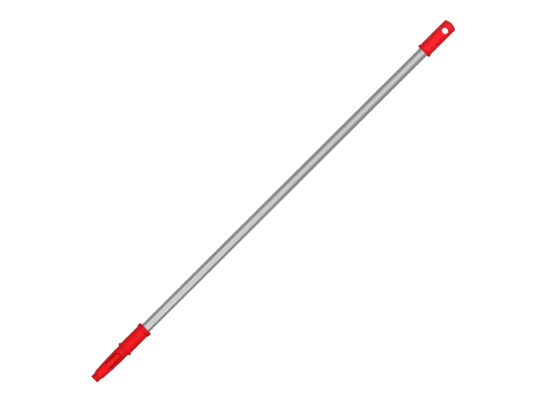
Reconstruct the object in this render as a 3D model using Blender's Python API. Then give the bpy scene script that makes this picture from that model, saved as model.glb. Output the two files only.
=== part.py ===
"""A telescopic roller pole with a twist lock, collapsed and lying along X on the ground.

The tool end is at -X and the hanging cap at +X. The tool end's click tongue and the cap's
hanging hole face +Z. Every length along the pole is measured from the tip of the nose.
"""

import math

import bmesh
import bpy
from mathutils import Matrix, Vector

# Everything is in metres.
SIDES = 40  # sides of the large turned pieces: even, so a flat lies at the bottom
SMALL_SIDES = 24  # sides of the spindle and of what sits on it
PIN_SIDES = 16
SHARP_ANGLE = 28.0  # degrees between faces, over which an edge is shaded sharp
CLEARANCE = 0.0003  # between pieces that touch or slide

# Red cone tip, which the roller frame's socket is pushed on to
NOSE_DIAMETER = 0.0204
NOSE_LENGTH = 0.0128
NOSE_CHAMFER = 0.0012
NOSE_BORE = 0.0130
CONE_FRONT_DIAMETER = 0.0242
CONE_REAR_DIAMETER = 0.0301
CONE_LENGTH = 0.0652
CONE_BULGE = 0.0003  # how far the flank stands proud of a straight taper
CONE_STEPS = 6
CONE_CHAMFER = 0.0010
NECK_DIAMETER = 0.0295
NECK_LENGTH = 0.0144
CONE_SOCKET_DEPTH = 0.0524  # how deep the inner tube goes in from the cone's rear face
SIDE_NIB_STATION = 0.0460
SIDE_NIB_LENGTH = 0.0042
SIDE_NIB_HEIGHT = 0.0010
CONE_PIN_DIAMETER = 0.0032
CONE_PIN_FROM_REAR = 0.0070

# Click tongue in the top of the cone
TONGUE_ROOT = 0.0425
TONGUE_LENGTH = 0.0360
TONGUE_WIDTH = 0.0115
TONGUE_SLOT = 0.0020  # width of the slot that frees it
TONGUE_ROOT_THICKNESS = 0.0020
TONGUE_TIP_THICKNESS = 0.0021
SLEEVE_WALL = 0.0008  # the cone's inner sleeve, which is the floor under the tongue
LUG_FROM_TIP = 0.0055
LUG_LENGTH = 0.0095
LUG_WIDTH = 0.0070
LUG_HEIGHT = 0.0012
LUG_CREST_SHARE = 0.62  # where the ramp reaches the lug's crest, as a share of its length
ARC_STEPS = 12

# Red collar at the mouth of the outer tube
COLLAR_LENGTH = 0.0686
COLLAR_DIAMETER = 0.0319
FLANGE_DIAMETER = 0.0372
FLANGE_LENGTH = 0.0058
FLANGE_CHAMFER = 0.0008
BEAD_DIAMETER = 0.0360
BEAD_LENGTH = 0.0112
BEAD_CHAMFER = 0.0018
LIP_LENGTH = 0.0090
RIVET_DIAMETER = 0.0028
RIVET_RECESS = 0.0004
PIN_CHAMFER = 0.0003
COLLAR_RIVET_FROM_FRONT = 0.0405
COLLAR_RIVET_ANGLE = 17.0  # degrees from the top towards +Y

# Nylon bush between the two tubes
BUSH_HEAD_LENGTH = 0.0030
BUSH_SKIRT_LENGTH = 0.0240

# Tubes
OUTER_TUBE_DIAMETER = 0.0250
OUTER_TUBE_WALL = 0.0012
TUBE_SHOWING = 0.8664  # bare outer tube between the collar and the cap
INNER_TUBE_DIAMETER = 0.0200
INNER_TUBE_WALL = 0.0010

# Red hanging cap
CAP_LENGTH = 0.0893
CAP_DIAMETER = 0.0325
CAP_RIM_DIAMETER = 0.0356
CAP_RIM_LENGTH = 0.0064
CAP_DOME = 0.0050
CAP_SOCKET_DEPTH = 0.0480
CAP_RIVET_FROM_FRONT = 0.0240
CAP_RIVET_ANGLE = 180.0
HANG_HOLE_DIAMETER = 0.0134
HANG_HOLE_FROM_END = 0.0226
HANG_HOLE_OFFSET = -0.0011  # across the cap, along Y

# Twist lock on the tail of the inner tube
LOCK_END_CLEARANCE = 0.0300  # from the end of the spindle to the end of the outer tube
PLUG_LENGTH = 0.0300
PLUG_SHOULDER_LENGTH = 0.0040
PLUG_RIVET_FROM_SHOULDER = 0.0120
SPINDLE_DIAMETER = 0.0060
SPINDLE_HEAD_DIAMETER = 0.0100
SPINDLE_HEAD_LENGTH = 0.0040
THREAD_PITCH = 0.0030
THREAD_DEPTH = 0.0005
THREAD_TURNS = 8
WASHER_DIAMETER = 0.0170
WASHER_THICKNESS = 0.0010
EXPANDER_LENGTH = 0.0450
EXPANDER_WEB = 0.0090
EXPANDER_BORE_SMALL = 0.0110
EXPANDER_BORE_LARGE = 0.0172
EXPANDER_SLOT = 0.0016
EXPANDER_SLOT_LENGTH = 0.0330
EXPANDER_FINGERS = 4
GRIP_RING_SECTION = 0.0022
GRIP_RING_STEPS = 8
GRIP_GROOVE_FROM_FRONT = 0.0028
WEDGE_LENGTH = 0.0240
WEDGE_TRAVEL = 0.0030
WEDGE_KEY_LENGTH = 0.0100
WEDGE_KEY_CLEARANCE = 0.0012  # from the key to the spindle and to the outer tube's bore
WEDGE_STANDS_OUT = 0.0036  # how far the released wedge stands out of the expander
CLIP_THICKNESS = 0.0012
CLIP_DIAMETER = 0.0110
CLIP_GROOVE_DEPTH = 0.0008
CLIP_MOUTH_SHARE = 0.8  # the clip's mouth as a share of its bore
SPINDLE_TAIL = 0.0020  # beyond the clip

# Stations along the pole
CONE_START = NOSE_LENGTH
NECK_START = CONE_START + CONE_LENGTH
CONE_REAR = NECK_START + NECK_LENGTH
COLLAR_FRONT = CONE_REAR + CLEARANCE
COLLAR_REAR = COLLAR_FRONT + COLLAR_LENGTH
BUSH_FRONT = COLLAR_FRONT + LIP_LENGTH + CLEARANCE
OUTER_TUBE_FRONT = BUSH_FRONT + BUSH_HEAD_LENGTH + CLEARANCE
CAP_FRONT = COLLAR_REAR + TUBE_SHOWING
CAP_SOCKET_END = CAP_FRONT + CAP_SOCKET_DEPTH
OUTER_TUBE_REAR = CAP_SOCKET_END - CLEARANCE
CAP_END = CAP_FRONT + CAP_LENGTH
INNER_TUBE_FRONT = CONE_REAR - CONE_SOCKET_DEPTH + CLEARANCE

# The lock is stacked back from the end of the outer tube.
SPINDLE_END = OUTER_TUBE_REAR - LOCK_END_CLEARANCE
CLIP_FRONT = SPINDLE_END - SPINDLE_TAIL - CLIP_THICKNESS
END_WASHER_FRONT = CLIP_FRONT - CLEARANCE - WASHER_THICKNESS
WEDGE_REAR = END_WASHER_FRONT - CLEARANCE
EXPANDER_REAR = WEDGE_REAR - WEDGE_STANDS_OUT
EXPANDER_FRONT = EXPANDER_REAR - EXPANDER_LENGTH
THRUST_WASHER_FRONT = EXPANDER_FRONT - CLEARANCE - WASHER_THICKNESS
PLUG_REAR = THRUST_WASHER_FRONT - CLEARANCE
PLUG_SHOULDER_FRONT = PLUG_REAR - PLUG_SHOULDER_LENGTH
INNER_TUBE_REAR = PLUG_SHOULDER_FRONT - CLEARANCE
PLUG_FRONT = INNER_TUBE_REAR - PLUG_LENGTH
WEDGE_FRONT = WEDGE_REAR - WEDGE_LENGTH

# Radii that several pieces share
FLAT_RATIO = math.cos(math.pi / SIDES)  # from a corner's radius to a flat's
OUTER_TUBE_RADIUS = OUTER_TUBE_DIAMETER / 2
OUTER_BORE_RADIUS = OUTER_TUBE_RADIUS - OUTER_TUBE_WALL
INNER_TUBE_RADIUS = INNER_TUBE_DIAMETER / 2
INNER_BORE_RADIUS = INNER_TUBE_RADIUS - INNER_TUBE_WALL
SOCKET_RADIUS = OUTER_TUBE_RADIUS + CLEARANCE
GUIDE_RADIUS = INNER_TUBE_RADIUS + CLEARANCE
SPINDLE_RADIUS = SPINDLE_DIAMETER / 2
SPINDLE_BORE_RADIUS = SPINDLE_RADIUS + CLEARANCE
WIDEST_DIAMETER = max(FLANGE_DIAMETER, BEAD_DIAMETER, CAP_RIM_DIAMETER)
AXIS_HEIGHT = WIDEST_DIAMETER / 2 * FLAT_RATIO
GRIP_RING_RADIUS = OUTER_BORE_RADIUS * FLAT_RATIO - CLEARANCE / 2 - GRIP_RING_SECTION / 2
GRIP_GROOVE_RADIUS = GRIP_RING_RADIUS - GRIP_RING_SECTION / 2 - CLEARANCE
MIDDLE = CAP_END / 2

POLE_DIRECTION = Vector((1, 0, 0))

RED = (0.72, 0.018, 0.028)
RED_DARK = (0.60, 0.014, 0.022)
ALUMINIUM = (0.72, 0.73, 0.75)
STEEL = (0.55, 0.56, 0.58)
NYLON = (0.86, 0.85, 0.80)
BLACK = (0.03, 0.03, 0.03)
GREY_PLASTIC = (0.28, 0.29, 0.31)


def clear_scene():
    for leftover in list(bpy.data.objects):
        bpy.data.objects.remove(leftover, do_unlink=True)


def make_material(name, colour, roughness, metallic):
    material = bpy.data.materials.new(name)
    material.use_nodes = True
    shader = material.node_tree.nodes["Principled BSDF"]
    shader.inputs["Base Color"].default_value = (*colour, 1.0)
    shader.inputs["Roughness"].default_value = roughness
    shader.inputs["Metallic"].default_value = metallic
    return material


def on_axis(station, across=0.0, up=0.0):
    """A point given by its distance from the nose and its offsets from the pole's axis."""
    return Vector((station - MIDDLE, across, AXIS_HEIGHT + up))


def outward(angle):
    """The direction out of the pole at an angle in degrees from the top towards +Y."""
    turn = math.radians(angle)
    return Vector((0, math.sin(turn), math.cos(turn)))


def place(name, form, material, origin):
    """Puts a finished shape in the scene with its origin at a point, shaded smooth except
    across its sharp edges."""
    bmesh.ops.recalc_face_normals(form, faces=form.faces)
    bmesh.ops.translate(form, verts=form.verts, vec=-origin)
    mesh = bpy.data.meshes.new(name)
    form.to_mesh(mesh)
    form.free()
    mesh.shade_smooth()
    mesh.set_sharp_from_angle(angle=math.radians(SHARP_ANGLE))
    made = bpy.data.objects.new(name, mesh)
    made.location = origin
    bpy.context.scene.collection.objects.link(made)
    if material:
        mesh.materials.append(material)
    return made


def attach(piece, carrier, carrier_place):
    """Parents a piece to a carrier that stands at a place, and leaves the piece where it is."""
    piece.parent = carrier
    piece.matrix_parent_inverse = Matrix.Translation(-carrier_place)


def combine(target, other, operation):
    """Cuts the other shape out of the target, or joins it on. It moves with the target."""
    modifier = target.modifiers.new(f"{operation.lower()} {other.name}", "BOOLEAN")
    modifier.operation = operation
    modifier.solver = "EXACT"
    modifier.object = other
    other.hide_render = True
    other.display_type = "WIRE"
    attach(other, target, target.location)


def turned(name, outline, material, sides=SIDES, along=POLE_DIRECTION, start=None):
    """A closed outline of (distance, radius) points turned round an axis.

    The outline runs clockwise when distance points right and radius up. A point of radius 0 is
    one vertex on the axis. The origin is on the axis, level with the outline's first point.
    """
    start = on_axis(0.0) if start is None else start
    down = Vector((0, 0, -1))
    if abs(along.z) > abs(along.x) + abs(along.y):
        down = Vector((-1, 0, 0))
    down = (down - along * down.dot(along)).normalized()
    side = along.cross(down)
    form = bmesh.new()
    rings = []
    for distance, radius in outline:
        centre = start + along * distance
        if radius == 0:
            rings.append([form.verts.new(centre)])
            continue
        ring = []
        for i in range(sides):
            turn = (i + 0.5) * math.tau / sides
            ring.append(form.verts.new(centre + radius * (math.cos(turn) * down + math.sin(turn) * side)))
        rings.append(ring)
    for ring, following in zip(rings, rings[1:] + rings[:1]):
        if len(ring) == 1 and len(following) == 1:
            continue
        for i in range(sides):
            j = (i + 1) % sides
            corners = [ring[i % len(ring)], following[i % len(following)]]
            corners += [following[j % len(following)], ring[j % len(ring)]]
            form.faces.new(list(dict.fromkeys(corners)))
    return place(name, form, material, start + along * outline[0][0])


def rod(name, start, end, diameter, material, sides=PIN_SIDES, chamfer=0.0):
    """A round pin between two points, with chamfered ends."""
    length = (end - start).length
    radius = diameter / 2
    outline = [(0, 0), (0, radius - chamfer), (chamfer, radius)]
    outline += [(length - chamfer, radius), (length, radius - chamfer), (length, 0)]
    if chamfer == 0:
        outline = [(0, 0), (0, radius), (length, radius), (length, 0)]
    return turned(name, outline, material, sides, (end - start).normalized(), start)


def block(name, low, high):
    """A rectangular shape between two corners, with its origin on the pole's axis."""
    form = bmesh.new()
    middle = (low + high) / 2
    shape = Matrix.Translation(middle) @ Matrix.Diagonal((*(high - low), 1))
    bmesh.ops.create_cube(form, size=1, matrix=shape)
    return place(name, form, None, Vector((middle.x, 0, AXIS_HEIGHT)))


def between(name, lower, upper):
    """A shape between two outlines of as many points each, which face each other."""
    form = bmesh.new()
    low = [form.verts.new(point) for point in lower]
    high = [form.verts.new(point) for point in upper]
    form.faces.new(low)
    form.faces.new(high)
    for i in range(len(low)):
        j = (i + 1) % len(low)
        form.faces.new([low[i], low[j], high[j], high[i]])
    return place(name, form, None, lower[0])


def cone_radius(station):
    """The outer radius of the cone's flank."""
    along = (station - CONE_START) / CONE_LENGTH
    straight = CONE_FRONT_DIAMETER + (CONE_REAR_DIAMETER - CONE_FRONT_DIAMETER) * along
    return straight / 2 + CONE_BULGE * 4 * along * (1 - along)


def cone_flank():
    """The cone's flank and neck, from the step behind the nose to the rear face."""
    first = CONE_START + CONE_CHAMFER
    points = [(CONE_START, cone_radius(CONE_START) - CONE_CHAMFER)]
    for i in range(CONE_STEPS + 1):
        station = first + (NECK_START - first) * i / CONE_STEPS
        points.append((station, cone_radius(station)))
    neck = NECK_DIAMETER / 2
    points += [(NECK_START + CONE_REAR_DIAMETER / 2 - neck, neck), (CONE_REAR, neck)]
    return points


def tongue_outline(half_width, root, tip):
    """A tongue seen from above: straight sides and a round free end."""
    centre = tip - half_width
    points = [(root, -half_width)]
    for i in range(ARC_STEPS + 1):
        turn = math.pi * i / ARC_STEPS - math.pi / 2
        points.append((centre + half_width * math.cos(turn), half_width * math.sin(turn)))
    points.append((root, half_width))
    return points


def tongue_underside(station):
    """The height of the tongue's flat underside above the axis, at its root and tip."""
    share = (station - TONGUE_ROOT) / TONGUE_LENGTH
    root = cone_radius(TONGUE_ROOT) - TONGUE_ROOT_THICKNESS
    tip = cone_radius(TONGUE_ROOT + TONGUE_LENGTH) - TONGUE_TIP_THICKNESS
    return root + (tip - root) * share


def make_cone_tip(red):
    nose = NOSE_DIAMETER / 2
    outline = [(0, NOSE_BORE / 2), (0, nose - NOSE_CHAMFER), (NOSE_CHAMFER, nose), (CONE_START, nose)]
    outline += cone_flank()
    socket_end = CONE_REAR - CONE_SOCKET_DEPTH
    outline += [(CONE_REAR, GUIDE_RADIUS), (socket_end, GUIDE_RADIUS), (socket_end, NOSE_BORE / 2)]
    tip = turned("cone_tip", outline, red)

    slot = tongue_outline(
        TONGUE_WIDTH / 2 + TONGUE_SLOT,
        TONGUE_ROOT - CLEARANCE,
        TONGUE_ROOT + TONGUE_LENGTH + TONGUE_SLOT,
    )
    floor = [on_axis(x, y) for x, y in slot]
    pocket = between("tongue_pocket", floor, [on_axis(x, y, CONE_REAR_DIAMETER) for x, y in slot])
    sleeve_ends = on_axis(0), on_axis(CONE_REAR)
    sleeve = rod("sleeve_core", *sleeve_ends, 2 * (GUIDE_RADIUS + SLEEVE_WALL), None, sides=SIDES)
    combine(pocket, sleeve, "DIFFERENCE")
    combine(tip, pocket, "DIFFERENCE")

    nib_middle = on_axis(SIDE_NIB_STATION, -cone_radius(SIDE_NIB_STATION))
    reach = Vector((SIDE_NIB_LENGTH / 2, SIDE_NIB_HEIGHT, SIDE_NIB_HEIGHT))
    combine(tip, block("side_nib", nib_middle - reach, nib_middle + reach), "UNION")

    pin_station = CONE_REAR - CONE_PIN_FROM_REAR
    hole = CONE_PIN_DIAMETER + 2 * CLEARANCE
    beyond = NECK_DIAMETER
    ends = on_axis(pin_station, -beyond), on_axis(pin_station, beyond)
    combine(tip, rod("cone_pin_hole", *ends, hole, None), "DIFFERENCE")
    return tip


def make_click_tongue(red):
    """The tongue is the cone's own skin between the slots, with a lug near its free end."""
    flank = cone_flank()[1:]
    tongue = turned("click_tongue", [(flank[0][0], 0), *flank, (CONE_REAR, 0)], red)
    plan = tongue_outline(TONGUE_WIDTH / 2, TONGUE_ROOT, TONGUE_ROOT + TONGUE_LENGTH)
    underside = [on_axis(x, y, tongue_underside(x)) for x, y in plan]
    keep = between("tongue_plan", underside, [on_axis(x, y, CONE_REAR_DIAMETER) for x, y in plan])
    combine(tongue, keep, "INTERSECT")

    rear = TONGUE_ROOT + TONGUE_LENGTH - LUG_FROM_TIP
    front = rear - LUG_LENGTH
    crest = front + LUG_CREST_SHARE * LUG_LENGTH
    top = {front: 0.0, crest: LUG_HEIGHT, rear - LUG_HEIGHT / 2: LUG_HEIGHT, rear: -LUG_HEIGHT / 2}
    profile = [(x, cone_radius(x) + height) for x, height in top.items()]
    profile += [(rear, cone_radius(rear) - LUG_HEIGHT), (front, cone_radius(front) - LUG_HEIGHT)]
    near = [on_axis(x, -LUG_WIDTH / 2, up) for x, up in profile]
    far = [on_axis(x, LUG_WIDTH / 2, up) for x, up in profile]
    combine(tongue, between("tongue_lug", near, far), "UNION")
    return tongue


def make_cone_pin(steel):
    station = CONE_REAR - CONE_PIN_FROM_REAR
    reach = NECK_DIAMETER / 2 * FLAT_RATIO - CLEARANCE
    ends = on_axis(station, -reach), on_axis(station, reach)
    return rod("cone_pin", *ends, CONE_PIN_DIAMETER, steel, chamfer=PIN_CHAMFER)


def rivet_hole(name, station, angle):
    """A cutter for a rivet's hole, which reaches past the moulding and into the bore."""
    start = on_axis(station) + outward(angle) * OUTER_BORE_RADIUS / 2
    end = on_axis(station) + outward(angle) * WIDEST_DIAMETER
    return rod(name, start, end, RIVET_DIAMETER + 2 * CLEARANCE, None)


def make_rivet(name, station, angle, outer_radius, red):
    """A push rivet through a red moulding and the wall of the outer tube."""
    inner = on_axis(station) + outward(angle) * (OUTER_BORE_RADIUS + OUTER_TUBE_WALL / 4)
    outer = on_axis(station) + outward(angle) * (outer_radius * FLAT_RATIO - RIVET_RECESS)
    rod(name, inner, outer, RIVET_DIAMETER, red, chamfer=PIN_CHAMFER)


def make_outer_tube(aluminium):
    outline = [
        (OUTER_TUBE_FRONT, OUTER_BORE_RADIUS),
        (OUTER_TUBE_FRONT, OUTER_TUBE_RADIUS),
        (OUTER_TUBE_REAR, OUTER_TUBE_RADIUS),
        (OUTER_TUBE_REAR, OUTER_BORE_RADIUS),
    ]
    tube = turned("outer_tube", outline, aluminium)
    collar_hole = rivet_hole("tube_collar_hole", COLLAR_FRONT + COLLAR_RIVET_FROM_FRONT, COLLAR_RIVET_ANGLE)
    combine(tube, collar_hole, "DIFFERENCE")
    cap_hole = rivet_hole("tube_cap_hole", CAP_FRONT + CAP_RIVET_FROM_FRONT, CAP_RIVET_ANGLE)
    combine(tube, cap_hole, "DIFFERENCE")


def make_collar(red):
    body = COLLAR_DIAMETER / 2
    flange = FLANGE_DIAMETER / 2
    bead = BEAD_DIAMETER / 2
    flange_end = COLLAR_FRONT + FLANGE_LENGTH
    bead_start = COLLAR_REAR - BEAD_LENGTH
    outline = [
        (COLLAR_FRONT, GUIDE_RADIUS),
        (COLLAR_FRONT, flange - FLANGE_CHAMFER),
        (COLLAR_FRONT + FLANGE_CHAMFER, flange),
        (flange_end - FLANGE_CHAMFER, flange),
        (flange_end, flange - FLANGE_CHAMFER),
        (flange_end, body),
        (bead_start, body),
        (bead_start + bead - body, bead),
        (COLLAR_REAR - BEAD_CHAMFER, bead),
        (COLLAR_REAR, bead - BEAD_CHAMFER),
        (COLLAR_REAR, SOCKET_RADIUS),
        (COLLAR_FRONT + LIP_LENGTH, SOCKET_RADIUS),
        (COLLAR_FRONT + LIP_LENGTH, GUIDE_RADIUS),
    ]
    collar = turned("collar", outline, red)
    station = COLLAR_FRONT + COLLAR_RIVET_FROM_FRONT
    combine(collar, rivet_hole("collar_hole", station, COLLAR_RIVET_ANGLE), "DIFFERENCE")


def make_guide_bush(nylon):
    head_end = BUSH_FRONT + BUSH_HEAD_LENGTH
    skirt_end = head_end + BUSH_SKIRT_LENGTH
    skirt = OUTER_BORE_RADIUS - CLEARANCE
    outline = [
        (BUSH_FRONT, GUIDE_RADIUS),
        (BUSH_FRONT, OUTER_TUBE_RADIUS),
        (head_end, OUTER_TUBE_RADIUS),
        (head_end, skirt),
        (skirt_end, skirt),
        (skirt_end, GUIDE_RADIUS),
    ]
    turned("guide_bush", outline, nylon)


def make_end_cap(red):
    body = CAP_DIAMETER / 2
    rim = CAP_RIM_DIAMETER / 2
    rim_end = CAP_FRONT + CAP_RIM_LENGTH
    outline = [
        (CAP_FRONT, SOCKET_RADIUS),
        (CAP_FRONT, rim - FLANGE_CHAMFER),
        (CAP_FRONT + FLANGE_CHAMFER, rim),
        (rim_end - FLANGE_CHAMFER, rim),
        (rim_end, rim - FLANGE_CHAMFER),
        (rim_end, body),
    ]
    dome_radius = (body**2 + CAP_DOME**2) / (2 * CAP_DOME)
    dome_centre = CAP_END - dome_radius
    half_angle = math.asin(body / dome_radius)
    steps = ARC_STEPS // 2
    for i in range(steps):
        turn = half_angle * (1 - i / steps)
        outline.append((dome_centre + dome_radius * math.cos(turn), dome_radius * math.sin(turn)))
    outline += [(CAP_END, 0), (CAP_SOCKET_END, 0), (CAP_SOCKET_END, SOCKET_RADIUS)]
    cap = turned("end_cap", outline, red)

    hole_station = CAP_END - HANG_HOLE_FROM_END
    below = on_axis(hole_station, HANG_HOLE_OFFSET, -CAP_DIAMETER)
    above = on_axis(hole_station, HANG_HOLE_OFFSET, CAP_DIAMETER)
    combine(cap, rod("hang_hole", below, above, HANG_HOLE_DIAMETER, None, sides=SIDES), "DIFFERENCE")
    rivet_station = CAP_FRONT + CAP_RIVET_FROM_FRONT
    combine(cap, rivet_hole("cap_hole", rivet_station, CAP_RIVET_ANGLE), "DIFFERENCE")


def make_inner_tube(aluminium):
    outline = [
        (INNER_TUBE_FRONT, INNER_BORE_RADIUS),
        (INNER_TUBE_FRONT, INNER_TUBE_RADIUS),
        (INNER_TUBE_REAR, INNER_TUBE_RADIUS),
        (INNER_TUBE_REAR, INNER_BORE_RADIUS),
    ]
    tube = turned("inner_tube", outline, aluminium)
    station = CONE_REAR - CONE_PIN_FROM_REAR
    ends = on_axis(station, -OUTER_TUBE_DIAMETER), on_axis(station, OUTER_TUBE_DIAMETER)
    hole = CONE_PIN_DIAMETER + 2 * CLEARANCE
    combine(tube, rod("inner_tube_pin_hole", *ends, hole, None), "DIFFERENCE")
    combine(tube, plug_rivet_hole("inner_tube_rivet_hole"), "DIFFERENCE")
    return tube


def plug_rivet_hole(name):
    station = INNER_TUBE_REAR - PLUG_RIVET_FROM_SHOULDER
    start = on_axis(station, 0, -SPINDLE_BORE_RADIUS - CLEARANCE)
    end = on_axis(station, 0, -OUTER_TUBE_DIAMETER)
    return rod(name, start, end, RIVET_DIAMETER + 2 * CLEARANCE, None)


def make_plug_rivet(steel):
    station = INNER_TUBE_REAR - PLUG_RIVET_FROM_SHOULDER
    inner = on_axis(station, 0, -SPINDLE_BORE_RADIUS - 2 * CLEARANCE)
    outer = on_axis(station, 0, -INNER_TUBE_RADIUS * FLAT_RATIO)
    return rod("plug_rivet", inner, outer, RIVET_DIAMETER, steel, chamfer=PIN_CHAMFER)


def make_tail_plug(plastic):
    spigot = INNER_BORE_RADIUS - CLEARANCE
    shoulder = OUTER_BORE_RADIUS * FLAT_RATIO - CLEARANCE
    outline = [
        (PLUG_FRONT, SPINDLE_BORE_RADIUS),
        (PLUG_FRONT, spigot),
        (PLUG_SHOULDER_FRONT, spigot),
        (PLUG_SHOULDER_FRONT, shoulder),
        (PLUG_REAR, shoulder),
        (PLUG_REAR, SPINDLE_BORE_RADIUS),
    ]
    plug = turned("tail_plug", outline, plastic)
    combine(plug, plug_rivet_hole("plug_rivet_hole"), "DIFFERENCE")
    return plug


def make_lock_spindle(steel):
    """A long bolt: its head bears on the plug, its thread carries the wedge nut."""
    head_rear = PLUG_FRONT - CLEARANCE
    head_front = head_rear - SPINDLE_HEAD_LENGTH
    root = SPINDLE_RADIUS - THREAD_DEPTH
    groove = SPINDLE_RADIUS - CLIP_GROOVE_DEPTH
    head = SPINDLE_HEAD_DIAMETER / 2
    outline = [(head_front, 0), (head_front, head), (head_rear, head), (head_rear, SPINDLE_RADIUS)]
    thread_end = END_WASHER_FRONT
    for i in range(THREAD_TURNS):
        crest = thread_end - (THREAD_TURNS - i) * THREAD_PITCH
        outline.append((crest, SPINDLE_RADIUS))
        outline.append((crest + THREAD_PITCH / 2, root))
    outline.append((thread_end, SPINDLE_RADIUS))
    groove_front = CLIP_FRONT - CLEARANCE
    groove_rear = CLIP_FRONT + CLIP_THICKNESS + CLEARANCE
    outline += [(groove_front, SPINDLE_RADIUS), (groove_front, groove), (groove_rear, groove)]
    outline += [(groove_rear, SPINDLE_RADIUS), (SPINDLE_END - THREAD_DEPTH, SPINDLE_RADIUS)]
    outline += [(SPINDLE_END, root), (SPINDLE_END, 0)]
    return turned("lock_spindle", outline, steel, SMALL_SIDES)


def make_washer(name, front, steel):
    radius = WASHER_DIAMETER / 2
    rear = front + WASHER_THICKNESS
    bore = SPINDLE_BORE_RADIUS
    outline = [(front, bore), (front, radius), (rear, radius), (rear, bore)]
    return turned(name, outline, steel, SMALL_SIDES)


def make_end_clip(steel):
    """A C-shaped clip in the spindle's groove, open towards +Z."""
    bore = SPINDLE_RADIUS - CLIP_GROOVE_DEPTH + CLEARANCE
    radius = CLIP_DIAMETER / 2
    rear = CLIP_FRONT + CLIP_THICKNESS
    outline = [(CLIP_FRONT, bore), (CLIP_FRONT, radius), (rear, radius), (rear, bore)]
    clip = turned("end_clip", outline, steel, SMALL_SIDES)
    half_mouth = bore * CLIP_MOUTH_SHARE
    low = on_axis(CLIP_FRONT - CLIP_THICKNESS, -half_mouth)
    high = on_axis(rear + CLIP_THICKNESS, half_mouth, CLIP_DIAMETER)
    combine(clip, block("clip_mouth", low, high), "DIFFERENCE")
    return clip


def expander_bore(station):
    """The radius of the expander's tapered bore."""
    share = (station - EXPANDER_FRONT - EXPANDER_WEB) / (EXPANDER_LENGTH - EXPANDER_WEB)
    return (EXPANDER_BORE_SMALL + (EXPANDER_BORE_LARGE - EXPANDER_BORE_SMALL) * share) / 2


def slot_cutter(name, index, width, front, rear):
    """A slot through one side of the barrel, at an even share of a turn."""
    low = on_axis(front, -width / 2, SPINDLE_BORE_RADIUS / 2)
    high = on_axis(rear, width / 2, OUTER_TUBE_RADIUS)
    cutter = block(name, low, high)
    cutter.rotation_euler.x = math.tau * index / EXPANDER_FINGERS
    return cutter


def make_expander(plastic):
    barrel = OUTER_BORE_RADIUS - CLEARANCE
    groove_front = EXPANDER_FRONT + GRIP_GROOVE_FROM_FRONT
    groove_rear = groove_front + GRIP_RING_SECTION + 2 * CLEARANCE
    web_rear = EXPANDER_FRONT + EXPANDER_WEB
    outline = [
        (EXPANDER_FRONT, SPINDLE_BORE_RADIUS),
        (EXPANDER_FRONT, barrel),
        (groove_front, barrel),
        (groove_front, GRIP_GROOVE_RADIUS),
        (groove_rear, GRIP_GROOVE_RADIUS),
        (groove_rear, barrel),
        (EXPANDER_REAR, barrel),
        (EXPANDER_REAR, expander_bore(EXPANDER_REAR)),
        (web_rear, expander_bore(web_rear)),
        (web_rear, SPINDLE_BORE_RADIUS),
    ]
    expander = turned("expander", outline, plastic)
    slot_front = EXPANDER_REAR - EXPANDER_SLOT_LENGTH
    slot_rear = EXPANDER_REAR + EXPANDER_SLOT
    for i in range(EXPANDER_FINGERS):
        cutter = slot_cutter(f"finger_slot_{i}", i, EXPANDER_SLOT, slot_front, slot_rear)
        combine(expander, cutter, "DIFFERENCE")
    return expander


def make_grip_ring(rubber):
    """A rubber ring that rubs on the outer tube, so the barrel doesn't turn with the spindle."""
    radius = GRIP_RING_SECTION / 2
    centre = EXPANDER_FRONT + GRIP_GROOVE_FROM_FRONT + CLEARANCE + radius
    outline = []
    for i in range(GRIP_RING_STEPS):
        turn = -math.tau * i / GRIP_RING_STEPS
        outline.append((centre + radius * math.cos(turn), GRIP_RING_RADIUS + radius * math.sin(turn)))
    return turned("grip_ring", outline, rubber)


def make_wedge_nut(plastic):
    """The taper that spreads the expander, keyed in one of its slots."""
    slope = (EXPANDER_BORE_LARGE - EXPANDER_BORE_SMALL) / 2 / (EXPANDER_LENGTH - EXPANDER_WEB)
    free = WEDGE_TRAVEL * slope + CLEARANCE / 2
    front_radius = expander_bore(WEDGE_FRONT) - free
    rear_radius = expander_bore(EXPANDER_REAR) - free
    outline = [
        (WEDGE_FRONT, SPINDLE_BORE_RADIUS),
        (WEDGE_FRONT, front_radius),
        (EXPANDER_REAR, rear_radius),
        (WEDGE_REAR, rear_radius),
        (WEDGE_REAR, SPINDLE_BORE_RADIUS),
    ]
    nut = turned("wedge_nut", outline, plastic)
    key_rear = EXPANDER_REAR - CLEARANCE
    key_front = key_rear - WEDGE_KEY_LENGTH
    half_key = EXPANDER_SLOT / 2 - CLEARANCE
    low = on_axis(key_front, -half_key, SPINDLE_RADIUS + WEDGE_KEY_CLEARANCE)
    high = on_axis(key_rear, half_key, OUTER_BORE_RADIUS - WEDGE_KEY_CLEARANCE)
    combine(nut, block("wedge_key", low, high), "UNION")
    return nut


def carry(name, point, pieces):
    """An empty on a joint's axis, which carries the pieces that move on that joint."""
    carrier = bpy.data.objects.new(name, None)
    carrier.location = point
    carrier.empty_display_size = OUTER_TUBE_DIAMETER
    bpy.context.scene.collection.objects.link(carrier)
    for piece in pieces:
        attach(piece, carrier, point)
    return carrier


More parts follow.
